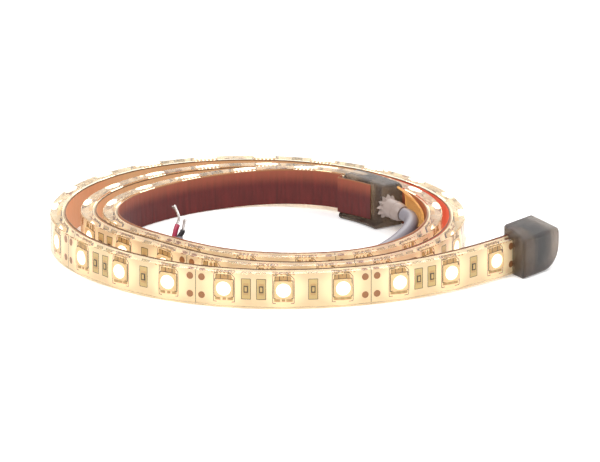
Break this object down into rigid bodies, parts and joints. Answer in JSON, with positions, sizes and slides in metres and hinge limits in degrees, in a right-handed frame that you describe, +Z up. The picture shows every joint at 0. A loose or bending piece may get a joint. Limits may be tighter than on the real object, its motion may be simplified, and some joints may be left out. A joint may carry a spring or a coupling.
{
  "type": "led strip light reel",
  "caption": "Flexible silicone-coated LED strip in a loose flat roll with a straight tail, end cap, red release liner and bare-ended feed cable.",
  "frame": {"origin": "centre of the footprint of everything but the feed cable, at the height of the surface the roll stands on", "axes": "+Z up, +X towards the strip's free end, +Y towards the back of the roll"},
  "size_m": [0.147, 0.1182, 0.0178],
  "materials": {
    "clear_silicone": "clear, slightly yellow silicone, satin",
    "white_board": "white solder mask on a flexible board",
    "tape": "double-sided adhesive tape",
    "red_liner": "red release film, satin",
    "smoky_silicone": "smoky clear silicone",
    "pale_sheath": "pale satin sheath",
    "led_package": "lit warm-white package",
    "grey_jacket": "satin cable jacket",
    "red_insulation": "satin",
    "black_insulation": "satin",
    "tinned_copper": "tinned strands"
  },
  "bodies": {
    "root": {"silicone_coat": "clear_silicone", "circuit_board": "white_board", "adhesive_tape": "tape", "release_liner": "red_liner", "outer_end_cap": "smoky_silicone", "inner_end_sleeve": "smoky_silicone", "clear_hood": "clear_silicone", "strain_relief": "pale_sheath", "cable_jacket": "grey_jacket", "red_core": "red_insulation", "black_core": "black_insulation", "red_tinned_end": "tinned_copper", "black_tinned_end": "tinned_copper", "led_01": "led_package", "led_02": "led_package", "led_03": "led_package", "led_04": "led_package", "led_05": "led_package", "led_06": "led_package", "led_07": "led_package", "led_08": "led_package", "led_09": "led_package", "led_10": "led_package", "led_11": "led_package", "led_12": "led_package", "led_13": "led_package", "led_14": "led_package", "led_15": "led_package", "led_16": "led_package", "led_17": "led_package", "led_18": "led_package", "led_19": "led_package", "led_20": "led_package", "led_21": "led_package", "led_22": "led_package", "led_23": "led_package", "led_24": "led_package", "led_25": "led_package", "led_26": "led_package", "led_27": "led_package", "led_28": "led_package", "led_29": "led_package", "led_30": "led_package", "led_31": "led_package", "led_32": "led_package", "led_33": "led_package", "led_34": "led_package", "led_35": "led_package", "led_36": "led_package", "led_37": "led_package", "led_38": "led_package", "led_39": "led_package", "led_40": "led_package", "led_41": "led_package", "led_42": "led_package", "led_43": "led_package", "led_44": "led_package", "led_45": "led_package", "led_46": "led_package", "led_47": "led_package"}
  },
  "joints": []
}
